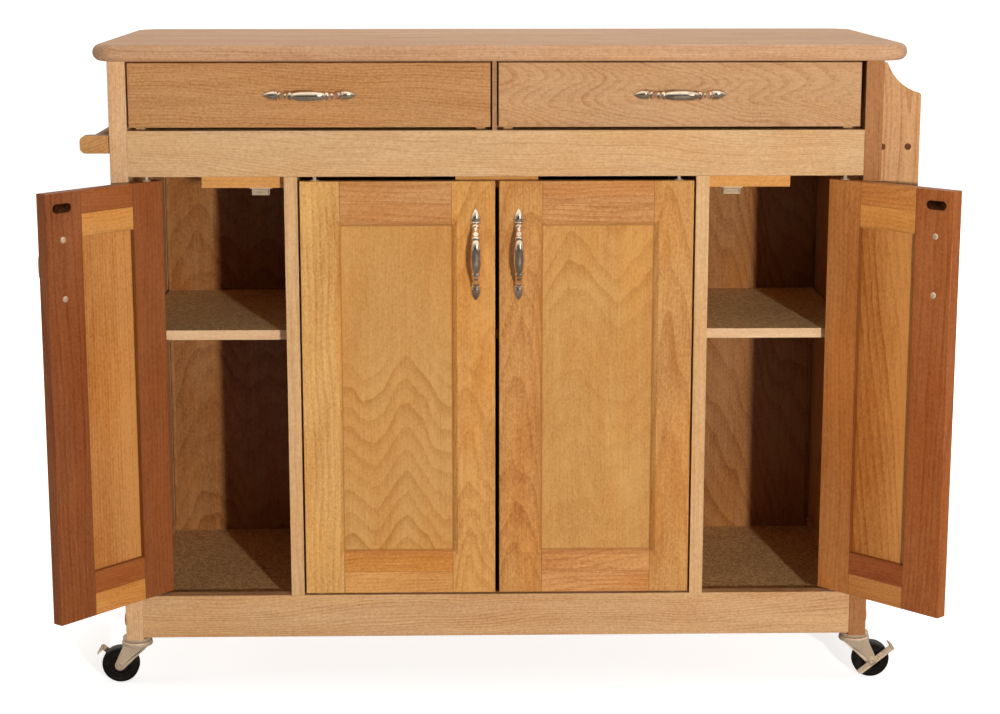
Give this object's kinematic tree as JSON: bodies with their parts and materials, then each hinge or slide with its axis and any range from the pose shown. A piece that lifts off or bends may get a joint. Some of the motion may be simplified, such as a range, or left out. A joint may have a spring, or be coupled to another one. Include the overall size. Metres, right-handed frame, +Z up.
{
  "type": "kitchen cart",
  "caption": "Butcher block kitchen cart on casters, with framed doors, drawers over them, shelves inside, a towel bar on one side and a spice rack on the other.",
  "frame": {"origin": "on the floor, in the middle of the cabinet's width, at the middle of the whole footprint from front to back", "axes": "+X to the cart's right along its width, +Y from the doors to the back, +Z up"},
  "size_m": [1.1867, 0.5714, 0.876],
  "materials": {
    "worktop": "oiled light wood, laid in strips",
    "frame_wood": "amber varnished pine",
    "panel_wood": "amber varnished panel",
    "inner_wood": "varnished, unlit inside",
    "board": "pressed board with a pale varnished edge",
    "turned_wood": "turned and varnished",
    "zinc": "zinc plated, stamped",
    "wheel": "moulded, black with a pale hub",
    "pull": "nickel plated and toned, satin",
    "catch": "brown, with a magnet",
    "fittings": "dark brown plate and steel pins"
  },
  "bodies": {
    "cabinet": {"worktop": "worktop", "post_front_left": "frame_wood", "post_front_right": "frame_wood", "post_rear_left": "frame_wood", "post_rear_right": "frame_wood", "frame_rails": "frame_wood", "side_panel_left": "panel_wood", "side_panel_right": "panel_wood", "apron_rail": "frame_wood", "toe_rail": "frame_wood", "back_panel": "inner_wood", "floor_panel": "board", "partition_left": "board", "partition_right": "board", "shelf_left": "board", "shelf_centre": "board", "shelf_right": "board", "shelf_clips": "zinc", "drawer_deck": "board", "drawer_guides": "inner_wood", "catch_cleats": "inner_wood", "door_catches": "catch", "button_caps": "turned_wood", "towel_brackets": "frame_wood", "towel_rod": "turned_wood", "rack_ends": "frame_wood", "rack_boards": "frame_wood", "caster_stems": "zinc"},
    "door_left": {"door_left_frame": "frame_wood", "door_left_panel": "panel_wood", "door_left_pull": "pull", "door_left_fittings": "fittings"},
    "door_centre_left": {"door_centre_left_frame": "frame_wood", "door_centre_left_panel": "panel_wood", "door_centre_left_pull": "pull", "door_centre_left_fittings": "fittings"},
    "door_centre_right": {"door_centre_right_frame": "frame_wood", "door_centre_right_panel": "panel_wood", "door_centre_right_pull": "pull", "door_centre_right_fittings": "fittings"},
    "door_right": {"door_right_frame": "frame_wood", "door_right_panel": "panel_wood", "door_right_pull": "pull", "door_right_fittings": "fittings"},
    "drawer_left": {"drawer_left_front": "frame_wood", "drawer_left_box": "inner_wood", "drawer_left_pull": "pull"},
    "drawer_right": {"drawer_right_front": "frame_wood", "drawer_right_box": "inner_wood", "drawer_right_pull": "pull"},
    "caster_front_left": {"caster_front_left_fork": "zinc"},
    "wheel_front_left": {"caster_front_left_wheel": "wheel"},
    "brake_front_left": {"caster_front_left_brake": "zinc"},
    "caster_front_right": {"caster_front_right_fork": "zinc"},
    "wheel_front_right": {"caster_front_right_wheel": "wheel"},
    "brake_front_right": {"caster_front_right_brake": "zinc"},
    "caster_rear_left": {"caster_rear_left_fork": "zinc"},
    "wheel_rear_left": {"caster_rear_left_wheel": "wheel"},
    "caster_rear_right": {"caster_rear_right_fork": "zinc"},
    "wheel_rear_right": {"caster_rear_right_wheel": "wheel"}
  },
  "joints": [
    {"name": "door_left_hinge", "type": "hinge", "parent": "cabinet", "child": "door_left", "pos_m": [-0.463, -0.141, 0.4135], "axis": [0, 0, -1], "range_deg": [-129.5, 5]},
    {"name": "door_centre_left_hinge", "type": "hinge", "parent": "cabinet", "child": "door_centre_left", "pos_m": [-0.2415, -0.141, 0.4135], "axis": [0, 0, -1], "range_deg": [0, 133]},
    {"name": "door_centre_right_hinge", "type": "hinge", "parent": "cabinet", "child": "door_centre_right", "pos_m": [0.2415, -0.141, 0.4135], "axis": [0, 0, 1], "range_deg": [0, 133]},
    {"name": "door_right_hinge", "type": "hinge", "parent": "cabinet", "child": "door_right", "pos_m": [0.463, -0.141, 0.4135], "axis": [0, 0, 1], "range_deg": [-132.5, 2]},
    {"name": "drawer_left_slide", "type": "slide", "parent": "cabinet", "child": "drawer_left", "axis": [0, -1, 0], "range_m": [0, 0.27]},
    {"name": "drawer_right_slide", "type": "slide", "parent": "cabinet", "child": "drawer_right", "axis": [0, -1, 0], "range_m": [0, 0.27]},
    {"name": "caster_front_left_swivel", "type": "hinge", "parent": "cabinet", "child": "caster_front_left", "pos_m": [-0.49715, -0.129, 0.0565], "axis": [0, 0, 1], "continuous": true},
    {"name": "wheel_front_left_spin", "type": "hinge", "parent": "caster_front_left", "child": "wheel_front_left", "pos_m": [-0.52065, -0.129, 0.0255], "axis": [0, 1, 0], "continuous": true},
    {"name": "brake_front_left_lever", "type": "hinge", "parent": "caster_front_left", "child": "brake_front_left", "pos_m": [-0.52065, -0.129, 0.0255], "axis": [0, -1, 0], "range_deg": [0, 14]},
    {"name": "caster_front_right_swivel", "type": "hinge", "parent": "cabinet", "child": "caster_front_right", "pos_m": [0.49715, -0.129, 0.0565], "axis": [0, 0, 1], "continuous": true},
    {"name": "wheel_front_right_spin", "type": "hinge", "parent": "caster_front_right", "child": "wheel_front_right", "pos_m": [0.52065, -0.129, 0.0255], "axis": [0, 1, 0], "continuous": true},
    {"name": "brake_front_right_lever", "type": "hinge", "parent": "caster_front_right", "child": "brake_front_right", "pos_m": [0.52065, -0.129, 0.0255], "axis": [0, 1, 0], "range_deg": [0, 14]},
    {"name": "caster_rear_left_swivel", "type": "hinge", "parent": "cabinet", "child": "caster_rear_left", "pos_m": [-0.49715, 0.246, 0.0565], "axis": [0, 0, 1], "continuous": true},
    {"name": "wheel_rear_left_spin", "type": "hinge", "parent": "caster_rear_left", "child": "wheel_rear_left", "pos_m": [-0.52065, 0.246, 0.0255], "axis": [0, 1, 0], "continuous": true},
    {"name": "caster_rear_right_swivel", "type": "hinge", "parent": "cabinet", "child": "caster_rear_right", "pos_m": [0.49715, 0.246, 0.0565], "axis": [0, 0, 1], "continuous": true},
    {"name": "wheel_rear_right_spin", "type": "hinge", "parent": "caster_rear_right", "child": "wheel_rear_right", "pos_m": [0.52065, 0.246, 0.0255], "axis": [0, 1, 0], "continuous": true}
  ]
}
